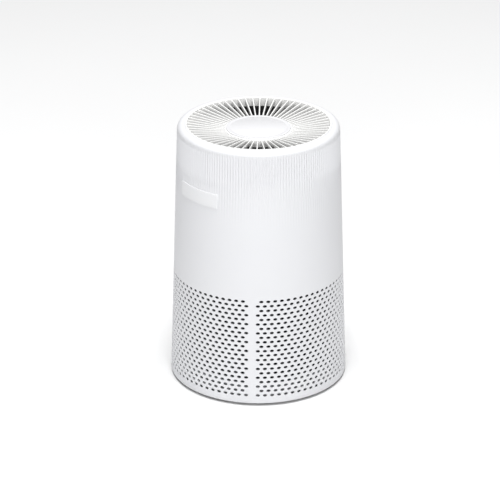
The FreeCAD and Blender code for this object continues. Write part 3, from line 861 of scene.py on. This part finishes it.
# %% Metals
def metal(name, colour, rough, pitch, depth, cloud=0.15):
    """A metal with fine rings. Their pitch and depth are in millimetres."""
    finish = Finish(name, Metallic=1.0)
    z = finish.axes()[2]
    lines = (z * (math.tau / (pitch * MM))).sine() * 0.5 + 0.5
    clouds = finish.noise(140, 4)
    dark = tuple(c * (1 - cloud) for c in colour)
    finish.feed("Base Color", finish.mix(clouds, dark, colour))
    finish.feed("Roughness", clouds * 0.16 + lines * 0.05 + (rough - 0.1))
    finish.bump(lines, depth * MM)
    return finish.material


looks["steel"] = metal("steel", (0.56, 0.57, 0.58), 0.3, 0.25, 0.01)
looks["zinc_screw"] = metal("zinc_screw", (0.60, 0.60, 0.56), 0.36, 0.4, 0.01, 0.25)
looks["core_steel"] = metal("core_steel", (0.28, 0.28, 0.30), 0.5, 0.5, 0.06)
looks["magnet"] = metal("magnet", (0.10, 0.10, 0.11), 0.55, 0.9, 0.01)
looks["copper"] = metal("copper", (0.75, 0.33, 0.16), 0.34, 0.45, 0.14)
print("metals done")

# %% [markdown]
# ### Circuit boards
# Solder mask over copper shows as slightly lighter tracks. Two square waves, one along each direction, give a
# plain grid of tracks that no real circuit is copied from.

# %% Circuit boards
def board(name, mask, track, upright):
    """A circuit board that stands upright or lies flat."""
    finish = Finish(name, Coat_Weight=0.4, Coat_Roughness=0.1)
    x, y, z = finish.axes()
    along = (x * 1500.0).sine() > 0.72
    across = ((z if upright else y) * 1100.0).sine() > 0.8
    tracks = (along + across) * (finish.noise(120) > 0.47)
    finish.feed("Base Color", finish.mix(tracks, mask, track))
    finish.feed("Roughness", finish.noise(400) * 0.1 + 0.3)
    finish.bump(tracks, 0.03 * MM)
    return finish.material


looks["board_green"] = board("board_green", (0.012, 0.10, 0.045), (0.03, 0.20, 0.09), True)
looks["board_white"] = board("board_white", (0.70, 0.70, 0.68), (0.78, 0.78, 0.74), False)
print("boards done")

# %% [markdown]
# ### Filter layers
# The outer mesh is dark net, the media is soft paper, and the carbon layer is packed grains. The net's
# threads follow the wall, so its pattern reads the angle round the axis and the height.

# %% Filter layers
round_waves = math.tau * 15


def net(name, thread, gap, pitch):
    """A net whose threads lie at a pitch in millimetres up the wall, and further apart round it."""
    finish = Finish(name, Specular_IOR_Level=0.3)
    x, y, z = finish.axes()
    round_wall = y.angle_from(x) * (round_waves / pitch)
    threads = round_wall.sine().size() * (z * (math.pi * 1000 / pitch)).sine().size()
    open_part = threads > 0.35
    finish.feed("Base Color", finish.mix(open_part, thread, gap))
    finish.feed("Roughness", finish.noise(800) * 0.1 + 0.75)
    finish.bump(1 - threads, 0.3 * MM)
    return finish.material


looks["mesh_black"] = net("mesh_black", (0.035, 0.035, 0.04), (0.008, 0.008, 0.009), 1.2)
looks["filter_fabric"] = net("filter_fabric", (0.62, 0.63, 0.62), (0.30, 0.30, 0.30), 1.0)
looks["strap_fabric"] = net("strap_fabric", (0.06, 0.065, 0.075), (0.02, 0.02, 0.025), 0.9)

paper = Finish("filter_paper", Specular_IOR_Level=0.2)
fibres = paper.noise(1800, 5, 0.7)
paper.feed("Base Color", paper.mix(fibres, (0.74, 0.72, 0.66), (0.86, 0.85, 0.80)))
paper.feed("Roughness", fibres * 0.1 + 0.85)
paper.bump(fibres, 0.12 * MM)
looks["filter_paper"] = paper.material

carbon = Finish("carbon_black", Specular_IOR_Level=0.4)
grains = carbon.cells(620)
carbon.feed("Base Color", carbon.mix(grains, (0.05, 0.05, 0.055), (0.008, 0.008, 0.009)))
carbon.feed("Roughness", grains * 0.3 + 0.5)
carbon.bump(1 - grains, 0.6 * MM)
looks["carbon_black"] = carbon.material
print(len(looks), "finishes in all")

# %% [markdown]
# ## Dress every piece
# Each node of the frame takes the finish of its slot in the record, and so does each new piece. The frame's
# meshes are loose triangles, so a Weld joins them and an Edge Split keeps corners sharp under smooth shading.

# %% Dress the pieces
slot_of = {s["node"]: s["material_slot"] for s in frame["record"]["subparts"]}


def dress(obj, look):
    """Gives a piece one finish all over."""
    obj.data.materials.clear()
    obj.data.materials.append(looks[look])


for name, node in nodes.items():
    dress(node, slot_of[name])
    for polygon in node.data.polygons:
        polygon.use_smooth = True
    join = node.modifiers.new("join", "WELD")
    join.merge_threshold = 1e-6
    split = node.modifiers.new("corners", "EDGE_SPLIT")
    split.split_angle = math.radians(32)
for obj in bpy.data.objects:
    if obj.type == "MESH" and obj.name not in nodes and obj.get("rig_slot"):
        dress(obj, obj["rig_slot"])
print("dressed", len(nodes), "nodes and the new pieces")

# %% [markdown]
# ## Floor, camera and light
# The floor is a plain pale sheet, matt and a touch uneven in tone, as painted board is.

# %% Floor
floor_bm = bmesh.new()
bmesh.ops.create_grid(floor_bm, x_segments=1, y_segments=1, size=6)
floor_mesh = bpy.data.meshes.new("floor")
floor_bm.to_mesh(floor_mesh)
floor_bm.free()
floor = bpy.data.objects.new("floor", floor_mesh)
bpy.context.scene.collection.objects.link(floor)
paint = Finish("floor_white")
paint.feed("Base Color", paint.mix(paint.noise(3), (0.835, 0.835, 0.835), (0.85, 0.85, 0.85)))
paint.feed("Roughness", paint.noise(40) * 0.1 + 0.8)
floor_mesh.materials.append(paint.material)
print("floor done")

# %% [markdown]
# The camera stands far off with a long lens, to the right of the front and above the object, so the upright
# edges stay nearly parallel. Its place and its three turns are worked out facing +Y first, and then the whole
# is swung round the object's axis.

# %% Camera
azimuth = math.radians(49.2)
elevation = math.radians(26.306)
aim_above = math.radians(2.3613)
pitch = elevation - aim_above
yaw = math.radians(-0.2077)
roll = math.radians(-0.0700)
distance = 29.596 * 107 * MM
look_level = 14 * MM
eye = Vector((0, -distance * math.cos(elevation), distance * math.sin(elevation) + look_level))
ahead = Vector((math.sin(yaw) * math.cos(pitch), math.cos(yaw) * math.cos(pitch), -math.sin(pitch)))
right = ahead.cross(Vector((0, 0, 1))).normalized()
up = right.cross(ahead)
right, up = (math.cos(roll) * right + math.sin(roll) * up,
             math.cos(roll) * up - math.sin(roll) * right)
turn = Matrix.Rotation(azimuth, 3, "Z")
axes = Matrix((turn @ right, turn @ up, turn @ -ahead)).transposed().to_4x4()
camera_data = bpy.data.cameras.new("camera")
camera_data.lens = 184.64
camera_data.sensor_width = 36
camera_data.clip_end = 50
camera = bpy.data.objects.new("camera", camera_data)
camera.matrix_world = Matrix.Translation(turn @ eye) @ axes
bpy.context.scene.collection.objects.link(camera)
bpy.context.scene.camera = camera
print("camera at", tuple(round(c, 3) for c in camera.location))

# %% [markdown]
# Two large soft lamps and a dim even surround light the scene. One lamp stands in front of the object, near
# the camera's side, and lets the body's edges fall off to grey. A much larger one overhead whitens the floor,
# the rim and the grille.

# %% Lights
body_middle = 160 * MM


def soft_lamp(name, azimuth, elevation, distance, size, power):
    """A square lamp that looks at the middle of the body. Angles are in degrees."""
    data = bpy.data.lights.new(name, "AREA")
    data.shape = "SQUARE"
    data.size = size
    data.energy = power
    lamp = bpy.data.objects.new(name, data)
    a, e = math.radians(azimuth), math.radians(elevation)
    way = Vector((math.sin(a) * math.cos(e), -math.cos(a) * math.cos(e), math.sin(e)))
    lamp.location = Vector((0, 0, body_middle)) + way * distance
    lamp.rotation_euler = way.to_track_quat("Z", "Y").to_euler()
    bpy.context.scene.collection.objects.link(lamp)


soft_lamp("front_lamp", 51, 30, 2.2, 0.9, 22)
soft_lamp("top_lamp", 49, 86, 5.0, 2.6, 305)
world = bpy.data.worlds.new("surround")
world.use_nodes = True
surround = world.node_tree.nodes["Background"].inputs
surround["Color"].default_value = (0.97, 0.98, 1.0, 1)
surround["Strength"].default_value = 0.12
bpy.context.scene.world = world
bpy.context.scene.view_settings.view_transform = "Standard"
print("lights done")
